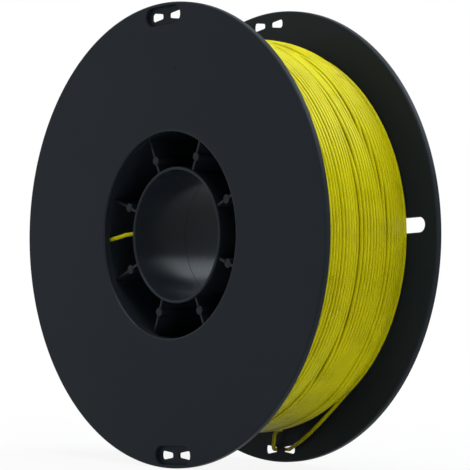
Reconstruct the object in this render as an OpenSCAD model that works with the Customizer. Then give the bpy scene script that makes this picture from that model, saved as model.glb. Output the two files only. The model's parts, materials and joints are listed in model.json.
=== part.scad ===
// String reel: two moulded halves pressed together back to back, with one long string wound on them.
// The spindle runs along Y with the front half at -Y, and Z is up.
// The origin is on the spindle's axis, midway between the two flanges.
// Angles are in the XZ plane, from +X towards +Z.

/* [Reel] */
// Diameter over the flanges
flange_d = 200; // [180:1:240]
// Width over both flanges
reel_w = 66; // [56:0.5:80]
// Thickness of each flange
flange_t = 3.1; // [2.6:0.1:4]
// Rounding of a flange's outer rim
rim_round = 0.8; // [0.2:0.1:1.2]
// How far the reel has rolled about its spindle, in degrees
reel_turn = 3.3; // [-20:0.1:20]

/* [Hub] */
// Diameter of the bore that runs on a spindle
bore_d = 56; // [40:0.5:60]
// Wall of the bore tube
tube_wall = 1.5; // [1.2:0.1:3]
// Depth of the bore tube's rim below the flange's face
tube_inset = 4.3; // [2:0.1:8]
// Rounding of the bore tube's rim, inside and out
tube_round = 0.65; // [0.2:0.05:0.65]
// Diameter of the hub's opening in each flange
hub_d = 88.8; // [82:0.2:92]
// Rounding of the hub opening's edge
hub_round = 0.8; // [0.2:0.1:1.2]
// How far the lip round the hub's opening is thicker than its flange
lip_drop = 0.5; // [0.2:0.1:2]
// Diameter of the drum that the string is wound on
drum_d = 96.4; // [94:0.2:106]
// Wall of the drum
drum_wall = 1.8; // [1.2:0.1:2.4]

/* [Ribs and pegs] */
// Number of ribs between the bore tube and the drum
rib_n = 8; // [4:2:12]
// Thickness of a rib
rib_t = 1.3; // [1:0.1:2.5]
// Depth of the ribs' edges below the flange's face
rib_inset = 5.3; // [4:0.1:12]
// Diameter of the boss on each rib
boss_d = 4; // [3.6:0.1:6]
// Diameter of the circle that the bosses lie on
boss_pcd = 71; // [68:0.5:76]
// Diameter of the pegs that hold the halves together
peg_d = 2.2; // [1.6:0.1:2.4]
// Length of a peg
peg_l = 4; // [2:0.5:8]
// Clearance round a peg in its socket
peg_gap = 0.05; // [0.02:0.01:0.1]

/* [Tie holes] */
// Distance from the rim to the middle of the tie holes
tie_edge = 5.6; // [5:0.1:12]
// Web between the two holes of a pair
tie_web = 3.6; // [1.6:0.1:4.2]
// Length of a tie hole, along the rim
tie_l = 8; // [6:0.1:12]
// Height of a tie hole beside the web
tie_h_in = 2.2; // [2.2:0.1:4]
// Height of a tie hole at its far end
tie_h_out = 4.6; // [4.2:0.1:6]
// Rounding of a tie hole's corners
tie_round = 1.6; // [0.3:0.1:2]
// How far the rear flange's pairs of tie holes lie off the middle, towards -X
tie_shift = 2.2; // [0:0.1:4]
// How far the rear flange's tie holes and slot are turned from the front flange's, in degrees
rear_turn = 0.4; // [-2:0.1:2]
// Margin of the pocket round a pair of holes
pocket_edge = 1.8; // [0.6:0.1:2]
// Depth of the pocket, which takes the string's thickness
pocket_depth = 1.9; // [0.5:0.1:2.2]

/* [Sight slot] */
// Width of the slot in the rear flange that shows how much string is left
slot_w = 6.9; // [4:0.1:12]
// Distance from the drum to the slot's inner end
slot_clear = 6.8; // [2:0.2:20]
// Distance from the rim to the slot's outer end
slot_edge = 7; // [4:0.1:12]

/* [String] */
// Diameter of the string
string_d = 1.75; // [1.2:0.05:1.8]
// Height of flange left free above the winding at mid width
rim_free = 13.4; // [12:0.2:30]
// How much lower the winding lies against the flanges than at mid width
wind_drop = 4.6; // [0:0.1:8]
// Number of turns drawn in the outer layer
turn_n = 24; // [8:1:24]
// Diameter of the hole in the drum that the string starts through
start_hole_d = 3.2; // [2.4:0.1:3.6]
// Distance from the flange to the middle of that hole
start_edge = 1.9; // [1.9:0.1:4]

/* [Hidden] */
$fn = 128;

half_w = reel_w / 2;
wind_half_w = half_w - flange_t;   // from mid width to a flange's inner face
flange_r = flange_d / 2;
bore_r = bore_d / 2;
tube_r = bore_r + tube_wall;
hub_r = hub_d / 2;
drum_r = drum_d / 2;
drum_inner_r = drum_r - drum_wall;
lip_from = min(hub_r, drum_inner_r);
lip_to = max(hub_r + drum_wall, drum_r);   // the lip joins flange and drum, whichever of the two is wider
tie_r = flange_r - tie_edge;
tie_far = tie_web / 2 + tie_l;     // from the middle of a pair to a hole's far end
pocket_w = 2 * (tie_far + pocket_edge);
pocket_h = tie_h_out + 2 * pocket_edge;
slot_from = drum_r + slot_clear;
slot_to = flange_r - slot_edge;
socket_d = peg_d + 2 * peg_gap;
socket_spare = 0.5;                // room past a peg's tip
peg_chamfer = 0.3;
cut_past = 1;                      // how far a cut runs past the surface that it opens
arc_steps = 5;                     // straight steps in a rounded corner
round_share = 0.45;                // most of a wall's thickness that one rounded edge takes
corner_share = 0.4;                // most of a tie hole's height that one rounded corner takes

wind_top_r = flange_r - rim_free;
wind_clear = 0.2;                  // between the drum and the string on it
lip_clear = 0.1;                   // between the lip and the string on the drum
side_clear = 0.3;                  // between the last turn and the flange
crown_power = 6;                   // a high power keeps the winding flat until close to the flanges
crown_steps = 16;
turn_rings = 24;                   // rings in one turn
turn_sides = 6;
turn_last_angle = -56;             // where the string lifts off the winding, on the unrolled reel
turn_last_y = wind_half_w - string_d / 2 - side_clear;
tiny_share = 0.0001;               // a step along the winding that is short enough to give its heading
cord_sides = 8;
cord_steps = 2;                    // rings for each stretch between two of the route's points

// Each half is drawn about Z, with its parting plane at z = 0 and its flange above, and is then placed
module front_side() {
    rotate([0, -reel_turn, 0]) rotate([90, 0, 0]) children();
}
module rear_side() {
    rotate([0, -reel_turn, 0]) mirror([0, 1, 0]) rotate([90, 0, 0]) children();
}

// ---- outlines with rounded corners ----

function unit(v) = v / norm(v);
function turned(v, a) = [v.x * cos(a) - v.y * sin(a), v.x * sin(a) + v.y * cos(a)];

// The arc that replaces corner b between a and c, each [x, y, radius]
function corner(a, b, c) =
    let (p = [b.x, b.y], back = unit([a.x, a.y] - p), on = unit([c.x, c.y] - p), r = b[2])
    r == 0 ? [p] :
    let (half = acos(back * on) / 2, middle = p + unit(back + on) * r / sin(half))
    let (first = p + back * r / tan(half) - middle, last = p + on * r / tan(half) - middle)
    let (sweep = sign(cross(first, last)) * (180 - 2 * half))
    [for (i = [0:arc_steps]) middle + turned(first, sweep * i / arc_steps)];

// A closed outline from points that are each [x, y, corner radius]
function rounded(points) =
    let (n = len(points))
    [for (i = [0:n - 1]) each corner(points[(i + n - 1) % n], points[i], points[(i + 1) % n])];

// ---- the two moulded halves ----

// Flange, lip round the hub's opening and drum wall, in one section
module flange_and_drum() {
    rotate_extrude() {
        polygon(rounded([
            [hub_r, half_w, hub_round],
            [flange_r, half_w, rim_round],
            [flange_r, wind_half_w, rim_round],
            [hub_r, wind_half_w, 0]
        ]));
        translate([lip_from, wind_half_w - lip_drop]) square([lip_to - lip_from, lip_drop]);
        translate([drum_inner_r, 0]) square([drum_wall, wind_half_w]);
    }
}

// Tube round the spindle, with a rounded rim
module bore_tube() {
    rim = min(tube_round, tube_wall * round_share);
    rotate_extrude() polygon(rounded([
        [bore_r, 0, 0],
        [tube_r, 0, 0],
        [tube_r, half_w - tube_inset, rim],
        [bore_r, half_w - tube_inset, rim]
    ]));
}

// Angle of rib i
function rib_angle(i) = (i + 0.5) * 360 / rib_n;

// One rib with its boss, along +X
module rib() {
    rib_from = (bore_r + tube_r) / 2;
    rib_to = (drum_inner_r + drum_r) / 2;
    translate([rib_from, -rib_t / 2, 0]) cube([rib_to - rib_from, rib_t, half_w - rib_inset]);
    translate([boss_pcd / 2, 0, 0]) cylinder(d = boss_d, h = half_w - rib_inset);
}

// Peg that stands out of the parting plane
module peg() {
    translate([boss_pcd / 2, 0, 0]) mirror([0, 0, 1]) rotate_extrude() polygon([
        [0, -cut_past],
        [peg_d / 2, -cut_past],
        [peg_d / 2, peg_l - peg_chamfer],
        [peg_d / 2 - peg_chamfer, peg_l],
        [0, peg_l]
    ]);
}

// Hole in the parting plane that takes the other half's peg
module socket() {
    translate([boss_pcd / 2, 0, -cut_past]) cylinder(d = socket_d, h = peg_l + socket_spare + cut_past);
}

// Outline of one tie hole, whose narrow end is beside the web
module tie_outline() {
    inner = min(tie_round, tie_h_in * corner_share);
    outer = min(tie_round, tie_h_out * corner_share);
    polygon(rounded([
        [tie_web / 2, -tie_h_in / 2, inner],
        [tie_far, -tie_h_out / 2, outer],
        [tie_far, tie_h_out / 2, outer],
        [tie_web / 2, tie_h_in / 2, inner]
    ]));
}

// A round-ended slot along X, from one centre to the other
module slot_outline(length, width) {
    square([length - width, width], center = true);
    for (side = [-1, 1]) translate([side * (length - width) / 2, 0]) circle(d = width);
}

// A pair of tie holes in their pocket, at the top of the flange
module tie_pair() {
    translate([0, tie_r, wind_half_w - cut_past]) linear_extrude(flange_t + 2 * cut_past) {
        tie_outline();
        mirror([1, 0]) tie_outline();
    }
    translate([0, tie_r, half_w - pocket_depth]) linear_extrude(pocket_depth + cut_past)
        slot_outline(pocket_w, pocket_h);
}

// What both halves have: pegs stand on the ribs whose number leaves peg_parity when halved, and the pairs of
// tie holes are turned by turn and lie shift off the middle
module half_reel(peg_parity, shift, turn) {
    difference() {
        union() {
            flange_and_drum();
            bore_tube();
            for (i = [0:rib_n - 1]) rotate(rib_angle(i)) {
                rib();
                if (i % 2 == peg_parity) peg();
            }
        }
        for (i = [0:rib_n - 1]) rotate(rib_angle(i)) {
            if (i % 2 != peg_parity) socket();
        }
        for (side = [0, 180]) translate([-shift, 0, 0]) rotate(side + turn) tie_pair();
    }
}

// Front half, with the hole that the string's inner end comes through
module front_half() {
    hole_from = lip_from - cut_past;
    color("#26292e") front_side() difference() {
        half_reel(0, 0, 0);
        translate([0, 0, wind_half_w - start_edge]) rotate([0, -90, 0])
            translate([0, 0, hole_from]) cylinder(d = start_hole_d, h = lip_to + cut_past - hole_from);
    }
}

// Rear half, with the sight slot
module rear_half() {
    color("#26292e") rear_side() difference() {
        half_reel(1, tie_shift, rear_turn);
        rotate(rear_turn) translate([(slot_from + slot_to) / 2, 0, wind_half_w - cut_past])
            linear_extrude(flange_t + 2 * cut_past) slot_outline(slot_to - slot_from, slot_w);
    }
}

// ---- the string ----

// Radius over the winding at a distance y from mid width
function wind_r(y) = wind_top_r - wind_drop * pow(abs(y) / wind_half_w, crown_power);

// Middle of the outer layer's string after a share s of its turns
function turn_point(s) =
    let (a = turn_last_angle + 360 * turn_n * (1 - s), y = turn_last_y * (2 * s - 1))
    let (r = wind_r(y) - string_d / 2)
    [r * cos(a), y, r * sin(a)];

// End of the straight piece, one string diameter long, that carries on from a through b
function straight_on(a, b) = b + unit(b - a) * string_d;

turn_count = turn_n * turn_rings;
turns = [for (i = [0:turn_count]) turn_point(i / turn_count)];
lift_off = straight_on(turn_point(1 - tiny_share), turn_point(1));
outer_route = concat([straight_on(turns[1], turns[0])], turns, [lift_off]);

// Least gap between the outer layer's turns, measured from each ring to those one turn on
least_gap = min([for (i = [0:turn_count - turn_rings - 1]) for (k = [-1:1])
    norm(turns[i + turn_rings + k] - turns[i]) - string_d]);
echo(least_gap_between_turns = least_gap);

// Route of the free outer end: along the flange, out through one tie hole, back through the other and up
tail_route = concat([lift_off], [
    [39, 28.55, -73.4],
    [34.4, 28.4, -77],
    [30.1, 28.3, -80.2],
    [26.8, 28.2, -82.6],
    [23.3, 28.1, -85],
    [19.8, 28.1, -87.3],
    [16.4, 28.1, -89.3],
    [13.1, 28.2, -91.1],
    [10.1, 28.5, -92.4],
    [7.6, 28.9, -93.4],
    [5.5, 29.7, -94],
    [3.8, 30.8, -94.3],
    [2, 31.7, -94.4],
    [0.2, 32.1, -94.4],
    [-1.5, 32.1, -94.4],
    [-3.2, 32.1, -94.4],
    [-4.4, 31.8, -94.4],
    [-5, 30.9, -94.4],
    [-4.9, 29.7, -94.2],
    [-4.4, 28.8, -93.6],
    [-3.6, 28, -92.7],
    [-2.9, 27.6, -91.6],
    [-2.4, 27.4, -90.2],
    [-2.1, 27.3, -88.7],
    [-1.5, 27.3, -87.4],
    [-0.4, 27.3, -86.4],
    [1.1, 27.3, -85.8],
    [2.7, 27.3, -85.5]
]);

// Route of the inner end: in through the drum's hole, across to the bore tube and on beside it
start_route = concat([[-drum_r - wind_clear, start_edge - wind_half_w, -0.3]], [
    [-46.2, -28, 0],
    [-44.4, -28, 0.3],
    [-41.6, -28, 0.7],
    [-38.6, -28, 1.1],
    [-35.6, -27.9, 1.6],
    [-33.2, -27, 1.9],
    [-31.7, -25.3, 2.1],
    [-31, -23, 2.2],
    [-30.8, -20, 2.2],
    [-30.8, -16.5, 2.2],
    [-30.8, -13, 2.2],
    [-30.8, -9.5, 2.2]
]);

// Point at share t between p[i] and p[i + 1] on a smooth curve through the points p
function curve_at(p, i, t) =
    let (a = p[max(i - 1, 0)], b = p[i], c = p[i + 1], d = p[min(i + 2, len(p) - 1)])
    0.5 * (2 * b + (c - a) * t + (2 * a - 5 * b + 4 * c - d) * t * t + (3 * b - a - 3 * c + d) * t * t * t);
function smooth(p) = concat(
    [for (i = [0:len(p) - 2]) for (k = [0:cord_steps - 1]) curve_at(p, i, k / cord_steps)],
    [p[len(p) - 1]]
);

// Headings along a route, and side vectors that are carried along it without twisting
function headings(p) = [for (i = [0:len(p) - 1]) unit(p[min(i + 1, len(p) - 1)] - p[max(i - 1, 0)])];
function square_to(t, v) = unit(v - (v * t) * t);
function sides_along(t) =
    let (n = len(t))
    [for (i = 0, v = square_to(t[0], [0, 1, 0]); i < n; i = i + 1, v = i < n ? square_to(t[i], v) : v) v];

// A round tube of the string's diameter along a route, with straight facets
module string_tube(route, sides) {
    n = len(route);
    t = headings(route);
    v = sides_along(t);
    points = [for (i = [0:n - 1]) for (k = [0:sides - 1])
        let (a = 360 * k / sides) route[i] + string_d / 2 * (v[i] * cos(a) + cross(t[i], v[i]) * sin(a))];
    walls = [for (i = [0:n - 2]) for (k = [0:sides - 1])
        let (a = i * sides + k, b = i * sides + (k + 1) % sides)
        each [[a, a + sides, b + sides], [a, b + sides, b]]];
    ends = [for (k = [1:sides - 2])
        each [[0, k, k + 1], [(n - 1) * sides, (n - 1) * sides + k + 1, (n - 1) * sides + k]]];
    polyhedron(points, concat(walls, ends));
}

// The turns below the outer layer, as one ring: it lies below the dip of the outer layer's facets
module inner_turns() {
    dip = 1 - cos(180 / turn_rings);
    core_r = function (y) wind_r(y) - string_d - wind_top_r * dip;
    color("#a8a512") rotate([90, 0, 0]) rotate_extrude() difference() {
        polygon(concat(
            [for (i = [0:crown_steps]) let (y = wind_half_w * (2 * i / crown_steps - 1)) [core_r(y), y]],
            [[drum_r + wind_clear, wind_half_w], [drum_r + wind_clear, -wind_half_w]]
        ));
        for (side = [-1, 1]) translate([0, side * wind_half_w])
            square([2 * (lip_to + lip_clear), 2 * (lip_drop + lip_clear)], center = true);
    }
}

module outer_turns() {
    color("#d6d21e") rotate([0, -reel_turn, 0]) string_tube(outer_route, turn_sides);
}

module string_tail() {
    color("#d6d21e") rotate([0, -reel_turn, 0]) string_tube(smooth(tail_route), cord_sides);
}

module string_start() {
    color("#d6d21e") rotate([0, -reel_turn, 0]) string_tube(smooth(start_route), cord_sides);
}

front_half();
rear_half();
inner_turns();
outer_turns();
string_tail();
string_start();
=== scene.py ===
"""Dresses the string reel: two moulded polystyrene halves, the string wound on them and its two loose ends.

The spindle runs along Y with the front half at -Y, and Z is up. Angles are in the XZ plane, from +X towards +Z.
Pieces are worked out on a reel that hasn't rolled, and then turned by its roll.
"""

import json
import math

import bmesh
import bpy
from mathutils import Matrix, Vector


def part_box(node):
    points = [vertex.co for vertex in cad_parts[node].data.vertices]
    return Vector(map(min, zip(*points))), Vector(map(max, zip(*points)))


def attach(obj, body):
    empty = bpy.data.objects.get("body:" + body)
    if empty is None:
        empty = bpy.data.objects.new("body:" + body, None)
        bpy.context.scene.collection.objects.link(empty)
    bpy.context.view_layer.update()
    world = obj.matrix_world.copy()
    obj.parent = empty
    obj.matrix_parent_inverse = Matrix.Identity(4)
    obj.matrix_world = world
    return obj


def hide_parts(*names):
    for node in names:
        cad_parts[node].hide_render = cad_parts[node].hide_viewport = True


bl_info = {
    "name": "String reel",
    "version": (1, 0, 0),
    "blender": (4, 5, 0),
    "location": "3D View > Sidebar > Reel",
    "description": "Models the two halves of a string reel, its winding and the string's loose ends",
    "category": "Add Mesh",
}

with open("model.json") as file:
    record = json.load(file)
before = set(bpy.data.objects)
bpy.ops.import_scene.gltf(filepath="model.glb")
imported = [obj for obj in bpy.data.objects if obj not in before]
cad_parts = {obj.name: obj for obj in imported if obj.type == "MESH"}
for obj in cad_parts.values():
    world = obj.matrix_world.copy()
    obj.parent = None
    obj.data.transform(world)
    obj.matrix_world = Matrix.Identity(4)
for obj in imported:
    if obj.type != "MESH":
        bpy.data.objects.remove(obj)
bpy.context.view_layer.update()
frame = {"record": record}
FRONT_LOW, FRONT_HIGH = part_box("front_half")
BORE = next(m for m in frame["record"]["mounts"] if m["name"] == "spindle_bore")

MM = 0.001
WHITE = (1, 1, 1)
SPIN_AXIS = Vector((0, 1, 0))
CUT_PAST = 1 * MM          # how far a cut runs past the surface that it opens
MERGE = 0.002 * MM         # points closer than this are one

# Steps of a full spin, and of the rounding of a corner or an edge
FLANGE_STEPS = 288
TUBE_STEPS = 192
INNER_TURNS_STEPS = 160
CORNER_STEPS = 6
EDGE_STEPS = 3

SHARP = math.radians(50)   # an edge that turns by less stays as it is
ALONG_SPINDLE = 0.5        # an edge whose direction has more of Y than this lies along the spindle
NEARLY_ALL = 0.999         # two corners rounded by all of the height between them would meet in one point


# ---- sizes and colours that a user would change ----


def linear(code):
    """The linear colour of an sRGB hex value."""
    parts = [int(code[i:i + 2], 16) / 255 for i in (0, 2, 4)]
    return tuple(p / 12.92 if p <= 0.04045 else ((p + 0.055) / 1.055) ** 2.4 for p in parts)


def length(name, description, millimetres):
    """A length that the panel shows with its unit, from a default in millimetres."""
    return bpy.props.FloatProperty(
        name=name, description=description, default=millimetres * MM, precision=5, unit="LENGTH", subtype="DISTANCE"
    )


def turn(name, description, degrees):
    """An angle that the panel shows in degrees."""
    return bpy.props.FloatProperty(
        name=name, description=description, default=math.radians(degrees), unit="ROTATION", subtype="ANGLE"
    )


def share(name, description, default):
    """A number from 0 to 1."""
    return bpy.props.FloatProperty(name=name, description=description, default=default, min=0, max=1, subtype="FACTOR")


def count(name, description, default):
    """A whole number of at least three."""
    return bpy.props.IntProperty(name=name, description=description, default=default, min=3)


def power(name, description, watts):
    """The power of a light."""
    return bpy.props.FloatProperty(name=name, description=description, default=watts, unit="POWER")


def colour(name, description, code):
    """A colour, from its sRGB hex value."""
    return bpy.props.FloatVectorProperty(
        name=name, description=description, default=linear(code), size=3, min=0, max=1, subtype="COLOR"
    )


class ReelSizes(bpy.types.PropertyGroup):
    """Sizes of the two moulded halves"""

    flange_radius: length("Flange radius", "Radius over a flange", FRONT_HIGH.z / MM)
    half_width: length("Half width", "From mid width to a flange's face", -FRONT_LOW.y / MM)
    flange_thickness: length("Flange thickness", "Thickness of each flange", 3.1)
    rim_round: length("Rim rounding", "Rounding of a flange's rim", 0.8)
    roll: turn("Roll", "How far the reel has rolled about its spindle", 3.3)
    hub_radius: length("Hub radius", "Radius of the hub's opening in a flange", 44.4)
    hub_round: length("Hub rounding", "Rounding of that opening's edge", 0.8)
    lip_drop: length("Lip drop", "How far the opening's lip is thicker than the flange", 0.5)
    bore_radius: length("Bore radius", "Radius of the bore for the spindle", BORE["dims"]["r_mm"])
    bore_length: length("Bore length", "Length of the bore", BORE["dims"]["length_mm"])
    tube_wall: length("Tube wall", "Wall of the bore tube", 1.5)
    tube_round: length("Tube rounding", "Rounding of the bore tube's rim", 0.65)
    seam: length("Seam", "Bevel at the joint between the halves, inside the bore", 0.15)
    drum_radius: length("Drum radius", "Radius of the drum under the string", 48.2)
    drum_wall: length("Drum wall", "Wall of the drum", 1.8)
    ribs: count("Ribs", "Ribs between the bore tube and the drum", 8)
    rib_thickness: length("Rib thickness", "Thickness of a rib", 1.3)
    rib_inset: length("Rib inset", "Depth of the ribs' edges below the flange's face", 5.3)
    boss_radius: length("Boss radius", "Radius of the boss on each rib", 2)
    boss_circle: length("Boss circle", "Radius of the circle that the bosses lie on", 35.5)
    peg_radius: length("Peg radius", "Radius of the pegs that join the halves", 1.1)
    peg_length: length("Peg length", "Length of a peg", 4)
    peg_gap: length("Peg clearance", "Clearance round a peg in its socket", 0.05)
    edge_round: length("Edge rounding", "Rounding of the ribs' and bosses' edges", 0.3)
    gate_radius: length("Gate radius", "Radius of the mark that the mould's gate leaves on the front face", 1.1)
    gate_depth: length("Gate depth", "Depth of that mark", 0.12)
    gate_at: length("Gate place", "Distance from the spindle's axis to the gate mark", 71.4)
    gate_angle: turn("Gate angle", "Angle of the gate mark", 83.5)


class OpeningSizes(bpy.types.PropertyGroup):
    """Sizes of the openings in the flanges"""

    tie_edge: length("Tie hole edge", "Distance from the rim to the middle of the tie holes", 5.6)
    tie_web: length("Tie hole web", "Web between the two holes of a pair", 3.6)
    tie_length: length("Tie hole length", "Length of a tie hole, along the rim", 8)
    tie_height_in: length("Tie hole inner height", "Height of a tie hole beside the web", 2.2)
    tie_height_out: length("Tie hole outer height", "Height of a tie hole at its far end", 4.6)
    tie_round_in: length("Tie hole inner rounding", "How far a corner beside the web is cut back", 0.76)
    tie_round_out: length("Tie hole outer rounding", "How far a corner at the far end is cut back", 1.86)
    tie_shift: length("Tie hole shift", "How far the rear flange's pairs lie off the middle, towards -X", 2.2)
    rear_turn: turn("Rear turn", "How far the rear flange's openings are turned from the front flange's", 0.4)
    pocket_margin: length("Pocket margin", "Margin of the pocket round a pair of holes", 1.8)
    pocket_depth: length("Pocket depth", "Depth of that pocket", 1.9)
    slot_width: length("Slot width", "Width of the sight slot in the rear flange", 6.9)
    slot_from: length("Slot start", "Distance from the axis to the slot's inner end", 55)
    slot_to: length("Slot end", "Distance from the axis to the slot's outer end", 93)
    start_radius: length("Start hole radius", "Radius of the hole in the drum that the string starts through", 1.6)
    start_y: length("Start hole place", "Place of that hole along the spindle", -28)
    mouth: length("Mouth", "Chamfer round each opening", 0.2)


class StringSizes(bpy.types.PropertyGroup):
    """Sizes of the string and its winding"""

    string_radius: length("String radius", "Radius of the string", 0.875)
    top_radius: length("Winding radius", "Radius over the winding at mid width", 86.6)
    half_width: length("Winding half width", "From mid width to a flange's inner face", 29.9)
    end_y: length("Last turn", "Place of the last turn along the spindle", 28.725)
    drop: length("Winding drop", "How much lower the winding lies against the flanges", 4.6)
    bore_gap: length("Drum gap", "Clearance between the drum and the turns on it", 0.2)
    turns: count("Turns", "Turns in the outer layer", 33)
    turn_points: count("Points in a turn", "Points that one turn has", 144)
    groove_depth: length("Groove depth", "Depth of the grooves where the winding's layers change", 1.2)
    groove_width: length("Groove width", "Width of those grooves, to the side that faces the rear", 1.4)
    groove_run: bpy.props.FloatProperty(
        name="Groove run", description="How many times wider those grooves are to the front side", default=3, min=1
    )
    unevenness: length("Unevenness", "How much a turn wanders in height", 0.05)


class FinishColours(bpy.types.PropertyGroup):
    """Colours of the two materials"""

    polystyrene: colour("Polystyrene", "Colour of the moulded halves", "20262c")
    string: colour("String", "Colour of the string", "cdc606")
    string_deep: colour("String, deep", "Colour of the string where less light gets through it", "c3bc04")


class StageSettings(bpy.types.PropertyGroup):
    """Camera and light"""

    target: bpy.props.FloatVectorProperty(
        name="Target", description="Point that the camera looks at", default=(0.04435, -0.033, 0.00029),
        size=3, unit="LENGTH", subtype="TRANSLATION",
    )
    azimuth: turn("Azimuth", "How far the camera has gone round the reel", 49.24)
    elevation: turn("Elevation", "How far the camera looks down", -0.07)
    camera_roll: turn("Camera roll", "How far the camera is tilted", 0.82)
    distance: length("Distance", "From the camera to its target", 1113.8)
    lens: bpy.props.FloatProperty(
        name="Lens", description="Focal length on a sensor 36 mm wide", default=205, unit="CAMERA"
    )
    fill: share("Fill", "Brightness of the room round the reel", 0.06)
    shadow: share("Shadow", "How much of the floor's own light and shadow shows", 0.09)
    cool: colour("Cool light", "Colour of the lights behind and in front of the reel", "e8f4ff")
    top_power: power("Top light", "Power of the light overhead", 12)
    back_power: power("Back light", "Power of the light behind the reel", 12)
    front_power: power("Front light", "Power of the light on the front face", 5)
    side_power: power("Side light", "Power of the light on the winding", 1.8)


# ---- modelling by hand, in small steps ----


def deselect():
    """Nothing is selected afterwards, the frame's own nodes included."""
    if bpy.context.object and bpy.context.object.mode != "OBJECT":
        bpy.ops.object.mode_set(mode="OBJECT")
    bpy.ops.object.select_all(action="DESELECT")


def take(*pieces):
    """Selects the pieces, the first as the active one."""
    deselect()
    for piece in pieces:
        piece.select_set(True)
    bpy.context.view_layer.objects.active = pieces[0]


def edit(piece):
    """Enters edit mode on one piece."""
    take(piece)
    bpy.ops.object.mode_set(mode="EDIT")


def done():
    """Leaves edit mode and puts the piece's place into its mesh."""
    bpy.ops.object.mode_set(mode="OBJECT")
    bpy.ops.object.transform_apply(location=True, rotation=True, scale=True)
    return bpy.context.object


def from_axis(face):
    """Distance from the spindle's axis to a face's middle."""
    middle = sum((v.co for v in face.verts), Vector()) / len(face.verts)
    return Vector((middle.x, middle.z)).length


def pick(kind, test):
    """In edit mode, selects just the vertices, edges or faces that pass the test."""
    bpy.ops.mesh.select_mode(type=kind)
    bpy.ops.mesh.select_all(action="DESELECT")
    data = bpy.context.edit_object.data
    mesh = bmesh.from_edit_mesh(data)
    elements = {"VERT": mesh.verts, "EDGE": mesh.edges, "FACE": mesh.faces}[kind]
    for element in elements:
        if test(element):
            element.select_set(True)
    mesh.select_flush_mode()
    bmesh.update_edit_mesh(data)


def name_piece(name):
    """Names the piece just added, and its mesh."""
    piece = bpy.context.object
    piece.name = name
    piece.data.name = name
    return piece


def trace(name, corners):
    """Starts a piece as a closed outline, drawn from corner to corner, and leaves it in edit mode.

    A corner is its place and its rounding.
    """
    deselect()
    bpy.ops.mesh.primitive_plane_add(size=MM)
    name_piece(name)
    bpy.ops.object.mode_set(mode="EDIT")
    bpy.ops.mesh.select_mode(type="VERT")
    bpy.ops.mesh.select_all(action="SELECT")
    bpy.ops.mesh.merge(type="CENTER")
    places = [Vector(place) for place, _ in corners]
    bpy.ops.transform.translate(value=places[0])
    for before, place in zip(places, places[1:]):
        bpy.ops.mesh.extrude_region_move(TRANSFORM_OT_translate={"value": place - before})
    pick("VERT", lambda v: min((v.co - places[0]).length, (v.co - places[-1]).length) < MERGE)
    bpy.ops.mesh.edge_face_add()
    for (_, rounding), place in zip(corners, places):
        if rounding:
            pick("VERT", lambda v: (v.co - place).length < MERGE)
            bpy.ops.mesh.bevel(affect="VERTICES", offset=rounding, segments=CORNER_STEPS, profile=0.5)
    bpy.ops.mesh.select_all(action="SELECT")
    bpy.ops.mesh.remove_doubles(threshold=MERGE)


def spin(steps):
    """Spins the outline being edited once round the spindle's axis, and closes the seam."""
    bpy.ops.mesh.select_all(action="SELECT")
    bpy.ops.mesh.spin(steps=steps, angle=math.tau, center=(0, 0, 0), axis=SPIN_AXIS)
    face_outwards()
    return done()


def face_outwards():
    """Merges the doubles of the piece being edited, and turns its faces outwards."""
    bpy.ops.mesh.select_all(action="SELECT")
    bpy.ops.mesh.remove_doubles(threshold=MERGE)
    bpy.ops.mesh.normals_make_consistent(inside=False)


def combine(piece, other, operation):
    """Adds other to the piece or cuts it out of the piece. Other is used up."""
    take(piece)
    bpy.ops.object.modifier_add(type="BOOLEAN")
    modifier = piece.modifiers[-1]
    modifier.operation = operation
    modifier.solver = "EXACT"
    modifier.object = other
    bpy.ops.object.modifier_apply(modifier=modifier.name)
    bpy.data.objects.remove(other)
    if not piece.data.polygons:
        raise RuntimeError(f"{piece.name} is empty after {operation}")
    return piece


def join(*pieces):
    """Makes one object of pieces that don't touch each other."""
    take(*pieces)
    bpy.ops.object.join()
    return bpy.context.object


def turned_copy(piece, angle):
    """A copy with its own mesh, turned about the spindle's axis."""
    take(piece)
    bpy.ops.object.duplicate()
    copy = bpy.context.object
    copy.rotation_euler.y = -angle
    bpy.ops.object.transform_apply(location=False, rotation=True, scale=False)
    return copy


def ring_of(piece, angles):
    """The piece repeated at each angle, as one object. The first piece is used up."""
    copies = [turned_copy(piece, angle) for angle in angles]
    bpy.data.objects.remove(piece)
    return join(*copies)


def mouth_at(surface, side, mouth):
    """Levels of a cutter that leaves a surface towards side, with a chamfer at the opening's mouth."""
    return [(surface - side * mouth, 0), (surface, mouth), (surface + side * CUT_PAST, mouth)]


def cutter(name, corners, levels):
    """A cutter pulled along the spindle from a closed outline.

    A corner is its x and z and its rounding. A level is a place along the spindle and how much the outline is
    widened there, to each side.
    """
    spans = [[place[i] for place, _ in corners] for i in (0, 1)]
    sizes = [max(span) - min(span) for span in spans]
    centre = [(max(span) + min(span)) / 2 for span in spans]
    start, wider = levels[0]
    trace(name, [((x, start, z), rounding) for (x, z), rounding in corners])
    bpy.ops.mesh.select_all(action="SELECT")
    bpy.ops.mesh.edge_face_add()
    for (before, _), (place, widening) in zip(levels[:1] + levels, levels):
        if place != before:
            bpy.ops.mesh.extrude_region_move(TRANSFORM_OT_translate={"value": (0, place - before, 0)})
        growth = [(size + 2 * widening) / (size + 2 * wider) for size in sizes]
        bpy.ops.transform.resize(value=(growth[0], 1, growth[1]), center_override=(centre[0], place, centre[1]))
        wider = widening
    face_outwards()
    return done()


def bar(name, low, high):
    """A block between two corners."""
    deselect()
    low, high = Vector(low), Vector(high)
    bpy.ops.mesh.primitive_cube_add(size=1, location=(low + high) / 2, scale=high - low)
    name_piece(name)
    return done()


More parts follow.
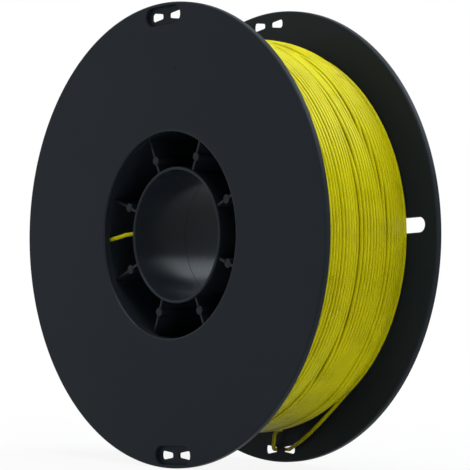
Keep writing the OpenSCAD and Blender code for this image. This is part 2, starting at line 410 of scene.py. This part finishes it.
def pin(name, radius, start, end, sides=48):
    """A round pin from start to end."""
    deselect()
    start, end = Vector(start), Vector(end)
    bpy.ops.mesh.primitive_cylinder_add(
        vertices=sides, radius=radius, depth=(end - start).length, location=(start + end) / 2,
        rotation=(end - start).to_track_quat("Z", "Y").to_euler(),
    )
    name_piece(name)
    return done()


def is_edge(edge, low, high):
    """True for a sharp outer edge that lies between two corners and not along the spindle."""
    if len(edge.link_faces) != 2 or not edge.is_convex or edge.calc_face_angle() < SHARP:
        return False
    ends = [v.co for v in edge.verts]
    along = (ends[1] - ends[0]).normalized()
    inside = all(low[i] <= end[i] <= high[i] for end in ends for i in range(3))
    return inside and abs(along.y) < ALONG_SPINDLE


def round_edges(piece, low, high, width):
    """Rounds the piece's sharp outer edges between two corners, evenly where other edges meet them at a slant."""
    edit(piece)
    pick("EDGE", lambda edge: is_edge(edge, low, high))
    bpy.ops.mesh.bevel(affect="EDGES", offset=width, segments=EDGE_STEPS, profile=0.5, loop_slide=False)
    return done()


def shade(piece, smooth_below=32):
    """Smooth shading that keeps flat faces flat, and edges sharp that turn by smooth_below degrees or more."""
    take(piece)
    bpy.ops.object.shade_smooth_by_angle(angle=math.radians(smooth_below))
    bpy.ops.object.modifier_add(type="WEIGHTED_NORMAL")
    modifier = piece.modifiers[-1]
    modifier.keep_sharp = True
    bpy.ops.object.modifier_apply(modifier=modifier.name)
    return piece


def roll(piece, angle):
    """Turns a finished piece by the reel's roll, about the spindle's axis."""
    take(piece)
    piece.rotation_euler.y = -angle
    bpy.ops.object.transform_apply(location=False, rotation=True, scale=False)
    return piece


def give(piece, slot, *nodes):
    """The finished piece goes with the reel and stands for the CAD nodes, which it hides. Slot is not used."""
    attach(piece, "root")
    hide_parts(*nodes)


# ---- materials ----

NOISE_LOW, NOISE_HIGH = 0.3, 0.7       # most of a noise texture's values lie between these


def node(tree, kind, links, **settings):
    """Adds a node with its settings and its inputs: an input is a value, or the output that it is linked to."""
    made = tree.nodes.new(kind)
    for name, value in settings.items():
        setattr(made, name, value)
    for name, source in links.items():
        if isinstance(source, bpy.types.NodeSocket):
            tree.links.new(source, made.inputs[name])
        else:
            made.inputs[name].default_value = source
    return made


def new_material(name):
    """An empty material and its node tree."""
    material = bpy.data.materials.new(name)
    material.use_nodes = True
    material.node_tree.nodes.clear()
    return material, material.node_tree


def moulded_polystyrene(name, tint, smooth, rough, shine):
    """High-impact polystyrene, injection moulded: an even charcoal whose gloss is that of the mould's steel.

    A mould polished less leaves a satin face, and the cores that form the hub and its bore leave a glossier one.
    Shine is far below the 0.5 of plain plastic, so that the charcoal stays dark in a white room.
    """
    material, tree = new_material(name)
    place = node(tree, "ShaderNodeTexCoord", {}).outputs["Object"]
    grain_size = 0.4 * MM      # spark-eroded grain is finer, and is drawn as coarse as it needs to show
    flow_size = 45 * MM        # how far apart the melt's paler and darker flow patches lie
    grain = node(tree, "ShaderNodeTexNoise", {"Vector": place, "Scale": 1 / grain_size, "Detail": 2})
    flow = node(tree, "ShaderNodeTexNoise", {"Vector": place, "Scale": 1 / flow_size, "Detail": 1})
    gloss = node(tree, "ShaderNodeMapRange", {
        "Value": flow.outputs["Fac"], "From Min": NOISE_LOW, "From Max": NOISE_HIGH,
        "To Min": smooth, "To Max": rough,
    })
    relief = node(tree, "ShaderNodeBump", {
        "Height": grain.outputs["Fac"], "Strength": 0.2, "Distance": 0.01 * MM,
    })
    shader = node(tree, "ShaderNodeBsdfPrincipled", {
        "Base Color": (*tint, 1), "Roughness": gloss.outputs["Result"], "Normal": relief.outputs["Normal"],
        "IOR": 1.59, "Specular IOR Level": shine,
    })
    node(tree, "ShaderNodeOutputMaterial", {"Surface": shader.outputs["BSDF"]})
    return material


def drawn_monofilament(name, pale, deep):
    """Polymer monofilament, extruded through a round die and drawn: smooth and glossy, with a little depth.

    Its specular level is below the 0.5 of plain plastic too, so that its colour stays deep in a white room.
    """
    material, tree = new_material(name)
    place = node(tree, "ShaderNodeTexCoord", {}).outputs["Object"]
    patch_size = 14 * MM       # how far apart the string's paler and deeper stretches lie
    ripple_size = 1.2 * MM     # waviness that the die and the draw leave
    patch = node(tree, "ShaderNodeTexNoise", {"Vector": place, "Scale": 1 / patch_size, "Detail": 2})
    ripple = node(tree, "ShaderNodeTexNoise", {"Vector": place, "Scale": 1 / ripple_size, "Detail": 1})
    mix = node(tree, "ShaderNodeMapRange", {"Value": patch.outputs["Fac"], "From Min": 0.35, "From Max": 0.65})
    colours = node(tree, "ShaderNodeValToRGB", {"Fac": mix.outputs["Result"]})
    colours.color_ramp.elements[0].color = (*deep, 1)
    colours.color_ramp.elements[1].color = (*pale, 1)
    gloss = node(tree, "ShaderNodeMapRange", {
        "Value": patch.outputs["Fac"], "From Min": NOISE_LOW, "From Max": NOISE_HIGH,
        "To Min": 0.24, "To Max": 0.34,
    })
    relief = node(tree, "ShaderNodeBump", {
        "Height": ripple.outputs["Fac"], "Strength": 0.3, "Distance": 0.03 * MM,
    })
    shader = node(tree, "ShaderNodeBsdfPrincipled", {
        "Base Color": colours.outputs["Color"], "Roughness": gloss.outputs["Result"],
        "Normal": relief.outputs["Normal"], "IOR": 1.5, "Specular IOR Level": 0.1,
        "Subsurface Weight": 0.8, "Subsurface Radius": (1, 0.9, 0.1), "Subsurface Scale": 2 * MM,
    })
    node(tree, "ShaderNodeOutputMaterial", {"Surface": shader.outputs["BSDF"]})
    return material


def finish_for(name):
    """The material of that name, made when it is first asked for."""
    if name in bpy.data.materials:
        return bpy.data.materials[name]
    colours = bpy.context.scene.finish_colours
    if name == "satin_polystyrene":
        return moulded_polystyrene(name, colours.polystyrene, smooth=0.38, rough=0.46, shine=0.05)
    if name == "glossy_polystyrene":
        return moulded_polystyrene(name, colours.polystyrene, smooth=0.2, rough=0.28, shine=0.08)
    return drawn_monofilament(name, colours.string, colours.string_deep)


# ---- the two halves ----


def flange_and_drum(reel):
    """The flange with its rounded rim, the lip round the hub's opening and the drum's wall."""
    face, inside = -reel.half_width, -reel.half_width + reel.flange_thickness
    lip = inside + reel.lip_drop
    drum_inside = reel.drum_radius - reel.drum_wall
    trace("flange_and_drum", [
        ((reel.hub_radius, face, 0), reel.hub_round),
        ((reel.flange_radius, face, 0), reel.rim_round),
        ((reel.flange_radius, inside, 0), reel.rim_round),
        ((reel.drum_radius, inside, 0), 0),
        ((reel.drum_radius, 0, 0), 0),
        ((drum_inside, 0, 0), 0),
        ((drum_inside, lip, 0), 0),
        ((reel.hub_radius, lip, 0), reel.edge_round),
    ])
    return spin(FLANGE_STEPS)


def bore_tube(reel):
    """The tube round the spindle, with a rounded rim at one end and the joint's fine bevel at the other."""
    rim = -reel.bore_length / 2
    outside = reel.bore_radius + reel.tube_wall
    trace("bore_tube", [
        ((reel.bore_radius, 0, 0), reel.seam),
        ((outside, 0, 0), 0),
        ((outside, rim, 0), reel.tube_round),
        ((reel.bore_radius, rim, 0), reel.tube_round),
    ])
    return spin(TUBE_STEPS)


def rib_with_boss(reel):
    """One rib from the bore tube to the drum, along +X, with the boss in its middle and its outer edge rounded."""
    top = -reel.half_width + reel.rib_inset
    half = reel.rib_thickness / 2
    start = reel.bore_radius + reel.tube_wall / 2
    end = reel.drum_radius - reel.drum_wall / 2
    rib = bar("rib", (start, top, -half), (end, 0, half))
    boss = pin("boss", reel.boss_radius, (reel.boss_circle, top, 0), (reel.boss_circle, 0, 0), sides=40)
    combine(rib, boss, "UNION")
    wide = 2 * reel.boss_radius
    return round_edges(rib, (0, top - MERGE, -wide), (end, top + MERGE, wide), reel.edge_round)


def peg(reel):
    """One peg, at +X from the axis, that stands out of the parting plane."""
    at, end = reel.boss_circle, reel.peg_length
    made = pin("peg", reel.peg_radius, (at, -CUT_PAST, 0), (at, end, 0), sides=32)
    return round_edges(made, (0, end - MERGE, -end), (2 * at, end + MERGE, end), reel.edge_round)


def socket(reel):
    """A cutter for the hole that takes the other half's peg."""
    at, deep = reel.boss_circle, -reel.peg_length - reel.edge_round
    return pin("socket", reel.peg_radius + reel.peg_gap, (at, deep, 0), (at, CUT_PAST, 0), sides=32)


def tie_pair(reel, cuts):
    """Cutters for a pair of tie holes at the top of the flange, and for the pocket that they lie in."""
    middle_z = reel.flange_radius - cuts.tie_edge
    near, far = cuts.tie_web / 2, cuts.tie_web / 2 + cuts.tie_length
    low, high = cuts.tie_height_in / 2, cuts.tie_height_out / 2
    face = -reel.half_width
    floor = face + cuts.pocket_depth
    levels = mouth_at(face + reel.flange_thickness, 1, cuts.mouth)[::-1] + mouth_at(floor, -1, cuts.mouth)
    holes = [
        cutter("tie_hole", [
            ((side * near, middle_z - low), cuts.tie_round_in),
            ((side * far, middle_z - high), cuts.tie_round_out),
            ((side * far, middle_z + high), cuts.tie_round_out),
            ((side * near, middle_z + low), cuts.tie_round_in),
        ], levels)
        for side in (-1, 1)
    ]
    wide, tall = far + cuts.pocket_margin, high + cuts.pocket_margin
    pocket = slot_cutter("pocket", (-wide, wide), middle_z, tall, [(floor, 0)] + mouth_at(face, -1, cuts.mouth))
    return combine(join(*holes), pocket, "UNION")


def slot_cutter(name, across, middle_z, half_height, levels):
    """A cutter with round ends, long in X."""
    rounding = NEARLY_ALL * half_height
    return cutter(name, [
        ((across[0], middle_z - half_height), rounding),
        ((across[1], middle_z - half_height), rounding),
        ((across[1], middle_z + half_height), rounding),
        ((across[0], middle_z + half_height), rounding),
    ], levels)


def half_reel(name, reel, cuts, first_peg, tie_shift, tie_turn):
    """What both halves have, with the flange at -Y.

    Pegs stand on every second rib from first_peg, and the other ribs have sockets. The tie holes are turned by
    tie_turn and lie tie_shift off the middle.
    """
    half = join(flange_and_drum(reel), bore_tube(reel))
    half.name = half.data.name = name
    step = math.tau / reel.ribs
    angles = [(i + 0.5) * step for i in range(reel.ribs)]
    combine(half, ring_of(rib_with_boss(reel), angles), "UNION")
    combine(half, ring_of(peg(reel), angles[first_peg::2]), "UNION")
    combine(half, ring_of(socket(reel), angles[1 - first_peg::2]), "DIFFERENCE")
    pairs = ring_of(tie_pair(reel, cuts), (tie_turn, math.pi + tie_turn))
    pairs.location.x = -tie_shift
    return combine(half, pairs, "DIFFERENCE")


def finish_half(half, reel, node_name):
    """Shading, the satin flange and the glossier hub, and the half's place on the reel."""
    half.data.materials.clear()
    half.data.materials.append(finish_for("satin_polystyrene"))
    half.data.materials.append(finish_for("glossy_polystyrene"))
    edit(half)
    pick("FACE", lambda face: from_axis(face) < reel.hub_radius + reel.hub_round)
    bpy.context.object.active_material_index = 1
    bpy.ops.object.material_slot_assign()
    done()
    roll(shade(half), reel.roll)
    give(half, "reel_plastic", node_name)


class FrontHalf(bpy.types.Operator):
    """Models the front half: flange, half of the drum and bore tube, ribs, tie holes and the string's start hole"""

    bl_idname = "reel.front_half"
    bl_label = "Front half"

    def execute(self, context):
        reel, cuts = context.scene.reel_sizes, context.scene.opening_sizes
        half = half_reel("front_half_moulding", reel, cuts, first_peg=0, tie_shift=0, tie_turn=0)
        inner = reel.drum_radius - reel.drum_wall - CUT_PAST
        combine(half, pin(
            "start_hole", cuts.start_radius, (-inner, cuts.start_y, 0), (-reel.drum_radius - CUT_PAST, cuts.start_y, 0)
        ), "DIFFERENCE")
        x, z = (reel.gate_at * f(reel.gate_angle) for f in (math.cos, math.sin))
        face = -reel.half_width
        combine(half, pin(
            "gate", reel.gate_radius, (x, face - CUT_PAST, z), (x, face + reel.gate_depth, z), sides=32
        ), "DIFFERENCE")
        finish_half(half, reel, "front_half")
        return {"FINISHED"}


class RearHalf(bpy.types.Operator):
    """Models the rear half: the front half's form mirrored, with a sight slot in its flange and no start hole"""

    bl_idname = "reel.rear_half"
    bl_label = "Rear half"

    def execute(self, context):
        reel, cuts = context.scene.reel_sizes, context.scene.opening_sizes
        half = half_reel(
            "rear_half_moulding", reel, cuts, first_peg=1, tie_shift=cuts.tie_shift, tie_turn=cuts.rear_turn
        )
        face = -reel.half_width
        slot = slot_cutter(
            "sight_slot", (cuts.slot_from, cuts.slot_to), 0, cuts.slot_width / 2,
            mouth_at(face + reel.flange_thickness, 1, cuts.mouth)[::-1] + mouth_at(face, -1, cuts.mouth),
        )
        combine(half, roll(slot, cuts.rear_turn), "DIFFERENCE")
        half.scale.y = -1
        edit(half)
        done()              # the mesh is mirrored here, and its faces are turned outwards next
        edit(half)
        face_outwards()
        done()
        finish_half(half, reel, "rear_half")
        return {"FINISHED"}


# ---- the string ----


def rolled(x, y, z, angle):
    """A point on the reel, once the reel has rolled."""
    return Vector((x * math.cos(angle) - z * math.sin(angle), y, x * math.sin(angle) + z * math.cos(angle)))


# Where the string lifts off the winding, in millimetres and degrees, and the routes of its loose ends in millimetres
LIFT_OFF = (44.5, 28.7, -69.1)
LIFT_ANGLE = -56
TAIL_ROUTE = [
    LIFT_OFF, (39, 28.55, -73.4), (34.4, 28.4, -77), (30.1, 28.3, -80.2), (26.8, 28.2, -82.6),
    (23.3, 28.1, -85), (19.8, 28.1, -87.3), (16.4, 28.1, -89.3), (13.1, 28.2, -91.1), (10.1, 28.5, -92.4),
    (7.6, 28.9, -93.4), (5.5, 29.7, -94), (3.8, 30.8, -94.3), (2, 31.7, -94.4), (0.2, 32.1, -94.4),
    (-1.5, 32.1, -94.4), (-3.2, 32.1, -94.4), (-4.4, 31.8, -94.4), (-5, 30.9, -94.4), (-4.9, 29.7, -94.2),
    (-4.4, 28.8, -93.6), (-3.6, 28, -92.7), (-2.9, 27.6, -91.6), (-2.4, 27.4, -90.2), (-2.1, 27.3, -88.7),
    (-1.5, 27.3, -87.4), (-0.4, 27.3, -86.4), (1.1, 27.3, -85.8), (2.7, 27.3, -85.5),
]
START_ROUTE = [
    (-48.4, -28, -0.3), (-46.2, -28, 0), (-44.4, -28, 0.3), (-41.6, -28, 0.7), (-38.6, -28, 1.1),
    (-35.6, -27.9, 1.6), (-33.2, -27, 1.9), (-31.7, -25.3, 2.1), (-31, -23, 2.2), (-30.8, -20, 2.2),
    (-30.8, -16.5, 2.2), (-30.8, -13, 2.2), (-30.8, -9.5, 2.2),
]


def smooth_line(points, steps):
    """Points on a smooth curve through the given ones, with steps to each stretch."""
    line = []
    for i in range(len(points) - 1):
        a, b = points[max(i - 1, 0)], points[i]
        c, d = points[i + 1], points[min(i + 2, len(points) - 1)]
        for k in range(steps):
            t = k / steps
            line.append(0.5 * (
                2 * b + (c - a) * t + (2 * a - 5 * b + 4 * c - d) * t ** 2 + (3 * b - a - 3 * c + d) * t ** 3
            ))
    return line + [points[-1]]


def string_along(name, line, radius, ring_sides):
    """A round string along a line of points, as one open curve with closed ends."""
    deselect()
    curve = bpy.data.curves.new(name, "CURVE")
    curve.dimensions = "3D"
    curve.bevel_depth = radius
    curve.bevel_resolution = ring_sides // 2 - 2       # a resolution of 0 has 4 sides, and each step adds 2
    curve.use_fill_caps = True
    spline = curve.splines.new("POLY")
    spline.points.add(len(line) - 1)
    for point, place in zip(spline.points, line):
        point.co = (*place, 1)
    spline.use_smooth = True
    piece = bpy.data.objects.new(name, curve)
    bpy.context.collection.objects.link(piece)
    piece.data.materials.append(finish_for("drawn_monofilament"))
    return piece


def loose_end(name, route, node_name):
    """One loose end of the string, as a round curve along its route."""
    scene = bpy.context.scene
    places = [rolled(*[MM * v for v in point], scene.reel_sizes.roll) for point in route]
    radius = scene.string_sizes.string_radius
    piece = string_along(name, smooth_line(places, steps=6), radius, ring_sides=12)
    give(piece, "string", node_name)


class StringTail(bpy.types.Operator):
    """Lays the string's outer end along the rear flange, out through one tie hole and back through the other"""

    bl_idname = "reel.string_tail"
    bl_label = "String tail"

    def execute(self, context):
        loose_end("string_outer_end", TAIL_ROUTE, "string_tail")
        return {"FINISHED"}


class StringStart(bpy.types.Operator):
    """Brings the string's inner end through the drum's hole and bends it round the bore tube"""

    bl_idname = "reel.string_start"
    bl_label = "String start"

    def execute(self, context):
        loose_end("string_inner_end", START_ROUTE, "string_start")
        return {"FINISHED"}


CROWN_POWER = 6        # the higher it is, the closer to the flanges the winding stays level
RIDGE_STEPS = 5        # steps across one turn's ridge in the ring of inner turns
RIDGE_ROUND = 0.9      # how much of a round string's curve such a ridge has

# The waves of a turn's rise and fall: how many go round the reel, and how far they shift from turn to turn
WAVES = [(3, 1.7), (7, 2.9)]


def crown(wind, y):
    """Radius over the winding at y: level until close to the flanges, and lower against them."""
    return wind.top_radius - wind.drop * (abs(y) / wind.half_width) ** CROWN_POWER


# The grooves where the winding's layers change, each as stations round the reel: the angle in degrees, the place
# along the spindle in mm and the share of the depth
GROOVES = [
    [
        (-180, -2, 0.5), (-100, -6, 0.6), (-56, -4.7, 0.9), (-43, -2.9, 1), (-20, -0.8, 1), (10, -1, 1),
        (34, 0.8, 1), (50, 2, 0.6), (80, 2, 0.3), (180, -2, 0.5),
    ],
    [
        (-180, 12, 0.4), (-60, 14.8, 0.8), (-23, 15.3, 0.8), (0, 14.6, 0.9), (19, 11.8, 1), (36, 8.5, 1),
        (50, 8, 1), (67, 10.5, 0.8), (95, 12, 0.5), (180, 12, 0.4),
    ],
    [(-180, -14, 0.2), (-40, -13.2, 0.4), (0, -11.6, 0.3), (40, -10.5, 0.3), (90, -12, 0.2), (180, -14, 0.2)],
    [(-180, 26.4, 0.5), (-50, 26.4, 1), (-20, 26.4, 1), (0, 26.4, 0.8), (60, 26.4, 0.8), (180, 26.4, 0.5)],
]


def station_at(stations, angle):
    """Place and share of the depth of a groove at an angle, eased from one station to the next."""
    degrees = (math.degrees(angle) + 180) % 360 - 180
    for before, after in zip(stations, stations[1:]):
        if degrees <= after[0]:
            part = (degrees - before[0]) / (after[0] - before[0])
            eased = part * part * (3 - 2 * part)
            return [b + (a - b) * eased for b, a in zip(before[1:], after[1:])]
    raise ValueError(f"no station at {degrees} degrees")


def groove_dip(wind, angle, y):
    """How much lower the winding is there than its crown."""
    dip = 0
    for stations in GROOVES:
        place, part = station_at(stations, angle)
        off = (y - MM * place) / wind.groove_width
        if off < 0:
            off /= wind.groove_run         # the side that faces the front is gentler
        dip += part * math.exp(-off ** 2)
    return wind.groove_depth * dip


def wander(wind, angle, turn_number):
    """A turn's own small rise and fall, the same every time."""
    wave = sum(math.sin(number * angle + shift * turn_number) for number, shift in WAVES)
    return wind.unevenness * wave / len(WAVES)


def turn_place(wind, s):
    """Middle of the outer layer's string after a share s of its turns."""
    around = math.radians(LIFT_ANGLE) + math.tau * wind.turns * (1 - s)
    y = wind.end_y * (2 * s - 1)
    ends = min(1, wind.turns * s, wind.turns * (1 - s))     # the ends of the layer lie on the plain crown
    lower = groove_dip(wind, around, y) - wander(wind, around, wind.turns * s) + wind.unevenness
    radius = crown(wind, y) - wind.string_radius - ends * lower
    return radius * math.cos(around), y, radius * math.sin(around)


class OuterTurns(bpy.types.Operator):
    """Winds the outer layer of string as one unbroken helix that ends where the loose end lifts off"""

    bl_idname = "reel.outer_turns"
    bl_label = "Outer turns"

    def execute(self, context):
        wind, angle = context.scene.string_sizes, context.scene.reel_sizes.roll
        points = wind.turns * wind.turn_points
        line = [rolled(*turn_place(wind, i / points), angle) for i in range(points + 1)]
        line.append(rolled(*[MM * v for v in LIFT_OFF], angle))
        piece = string_along("winding_outer", line, wind.string_radius, ring_sides=8)
        take(piece)
        bpy.ops.object.convert(target="MESH")
        edit(piece)
        face_outwards()
        done()
        give(piece, "string", "outer_turns")
        return {"FINISHED"}


class InnerTurns(bpy.types.Operator):
    """Models the turns below the outer layer as one ring with a ridge for each turn"""

    bl_idname = "reel.inner_turns"
    bl_label = "Inner turns"

    def execute(self, context):
        reel, wind = context.scene.reel_sizes, context.scene.string_sizes
        pitch = 2 * wind.half_width / wind.turns
        lay_down = 2 * wind.string_radius + wind.groove_depth + 2 * wind.unevenness
        inside = reel.drum_radius + wind.bore_gap
        outline = []
        for i in range(wind.turns * RIDGE_STEPS + 1):
            y = -wind.half_width + i * pitch / RIDGE_STEPS
            across = 2 * (i / RIDGE_STEPS % 1) - 1         # from -1 to 1 over one ridge
            below = wind.string_radius * (1 - math.sqrt(1 - RIDGE_ROUND * across * across))
            outline.append((crown(wind, y) - lay_down - below, y, 0))
        corners = [(place, 0) for place in outline] + [((inside, side * wind.half_width, 0), 0) for side in (1, -1)]
        trace("winding_inner", corners)
        ring = spin(INNER_TURNS_STEPS)
        ring.data.materials.append(finish_for("drawn_monofilament"))
        roll(shade(ring, smooth_below=50), reel.roll)
        give(ring, "string", "inner_turns")
        return {"FINISHED"}


# ---- camera, light and floor ----

SENSOR_WIDTH = 36                  # in millimetres
FLOOR_WIDTH = 8                    # in metres, as the distances below are
FLOOR_GREY = 0.75
FADE_FROM, FADE_TO = 0.12, 0.4     # the floor's own light and shadow fade between these distances from the axis


class ReelCamera(bpy.types.Operator):
    """Places the camera"""

    bl_idname = "reel.camera"
    bl_label = "Camera"

    def execute(self, context):
        deselect()
        stage = context.scene.stage_settings
        aim = (
            Matrix.Rotation(stage.azimuth, 4, "Z") @ Matrix.Rotation(math.pi / 2 - stage.elevation, 4, "X")
            @ Matrix.Rotation(stage.camera_roll, 4, "Z")
        )
        back = aim.to_3x3() @ Vector((0, 0, 1))
        bpy.ops.object.camera_add(location=Vector(stage.target) + back * stage.distance, rotation=aim.to_euler())
        camera = context.object
        camera.data.lens = stage.lens
        camera.data.sensor_width = SENSOR_WIDTH
        camera.data.clip_start = 10 * MM
        context.scene.camera = camera
        return {"FINISHED"}


def soft_light(name, place, size_of, power, tint):
    """A square soft light that points at the reel."""
    deselect()
    towards = -Vector(place)
    bpy.ops.object.light_add(
        type="AREA", location=place, rotation=towards.to_track_quat("-Z", "Y").to_euler()
    )
    lamp = bpy.context.object
    lamp.name = name
    lamp.data.size = size_of
    lamp.data.energy = power
    lamp.data.color = tint


def looked_at(tree):
    """An output that is 1 for the rays that show a surface to the eye: directly, in a reflection or through glass."""
    rays = node(tree, "ShaderNodeLightPath", {})
    seen = node(tree, "ShaderNodeMath", {
        0: rays.outputs["Is Camera Ray"], 1: rays.outputs["Is Glossy Ray"],
    }, operation="MAXIMUM")
    seen = node(tree, "ShaderNodeMath", {
        0: seen.outputs["Value"], 1: rays.outputs["Is Transmission Ray"],
    }, operation="MAXIMUM")
    return seen.outputs["Value"]


def pale_floor(stage):
    """Pale matt board: white to the eye, with a share of the light and shadow that fall on it near the reel."""
    material, tree = new_material("pale_floor")
    place = node(tree, "ShaderNodeTexCoord", {}).outputs["Object"]
    distance = node(tree, "ShaderNodeVectorMath", {0: place}, operation="LENGTH").outputs["Value"]
    fade = node(tree, "ShaderNodeMapRange", {
        "Value": distance, "From Min": FADE_FROM, "From Max": FADE_TO, "To Min": stage.shadow, "To Max": 0,
    })
    lit = node(tree, "ShaderNodeBsdfDiffuse", {"Color": (FLOOR_GREY, FLOOR_GREY, FLOOR_GREY, 1)})
    white = node(tree, "ShaderNodeEmission", {"Color": (*WHITE, 1), "Strength": 1})
    near = node(tree, "ShaderNodeMixShader", {
        0: fade.outputs["Result"], 1: white.outputs["Emission"], 2: lit.outputs["BSDF"],
    })
    both = node(tree, "ShaderNodeMixShader", {
        0: looked_at(tree), 1: lit.outputs["BSDF"], 2: near.outputs["Shader"],
    })
    node(tree, "ShaderNodeOutputMaterial", {"Surface": both.outputs["Shader"]})
    return material


def white_room(stage):
    """A world that is white to the eye and lights the reel at a plain, lower level."""
    world = bpy.data.worlds.new("white_room")
    world.use_nodes = True
    tree = world.node_tree
    tree.nodes.clear()
    room = node(tree, "ShaderNodeBackground", {"Color": (*WHITE, 1), "Strength": stage.fill})
    white = node(tree, "ShaderNodeBackground", {"Color": (*WHITE, 1), "Strength": 1})
    both = node(tree, "ShaderNodeMixShader", {
        0: looked_at(tree), 1: room.outputs["Background"], 2: white.outputs["Background"],
    })
    node(tree, "ShaderNodeOutputWorld", {"Surface": both.outputs["Shader"]})
    return world


class ReelStage(bpy.types.Operator):
    """Makes the floor, the room and the lights"""

    bl_idname = "reel.stage"
    bl_label = "Stage"

    def execute(self, context):
        scene = context.scene
        stage, reel = scene.stage_settings, scene.reel_sizes
        deselect()
        bpy.ops.mesh.primitive_plane_add(size=FLOOR_WIDTH, location=(0, 0, -reel.flange_radius))
        floor = name_piece("floor")
        bpy.ops.object.transform_apply(location=True)
        floor.data.materials.append(pale_floor(stage))
        scene.world = white_room(stage)
        soft_light("top_light", (0.15, -0.1, 1.1), 0.8, stage.top_power, WHITE)
        soft_light("back_light", (0.48, 0.98, 1.03), 0.7, stage.back_power, stage.cool)
        soft_light("front_light", (-0.5, -1.5, 0.9), 1.0, stage.front_power, stage.cool)
        soft_light("side_light", (1.25, -0.3, 0.12), 0.4, stage.side_power, WHITE)
        scene.view_settings.view_transform = "Standard"
        return {"FINISHED"}


# ---- panel and main ----

OPERATORS = [ReelCamera, StringTail, StringStart, FrontHalf, RearHalf, InnerTurns, OuterTurns, ReelStage]
GROUPS = {
    "reel_sizes": ReelSizes,
    "opening_sizes": OpeningSizes,
    "string_sizes": StringSizes,
    "finish_colours": FinishColours,
    "stage_settings": StageSettings,
}


class ReelPanel(bpy.types.Panel):
    """The reel's pieces, sizes and colours in the sidebar"""

    bl_idname = "VIEW3D_PT_string_reel"
    bl_label = "String reel"
    bl_space_type = "VIEW_3D"
    bl_region_type = "UI"
    bl_category = "Reel"

    def draw(self, context):
        column = self.layout.column()
        for operator in OPERATORS:
            column.operator(operator.bl_idname)
        for group in GROUPS:
            box = column.box()
            settings = getattr(context.scene, group)
            for key in settings.__annotations__:
                box.prop(settings, key)


def register():
    for cls in [*GROUPS.values(), *OPERATORS, ReelPanel]:
        bpy.utils.register_class(cls)
    for name, cls in GROUPS.items():
        setattr(bpy.types.Scene, name, bpy.props.PointerProperty(type=cls))


def unregister():
    for name in GROUPS:
        delattr(bpy.types.Scene, name)
    for cls in reversed([*GROUPS.values(), *OPERATORS, ReelPanel]):
        bpy.utils.unregister_class(cls)


def main():
    register()
    for operator in OPERATORS:
        group, name = operator.bl_idname.split(".")
        getattr(getattr(bpy.ops, group), name)()


if __name__ == "__main__":
    main()
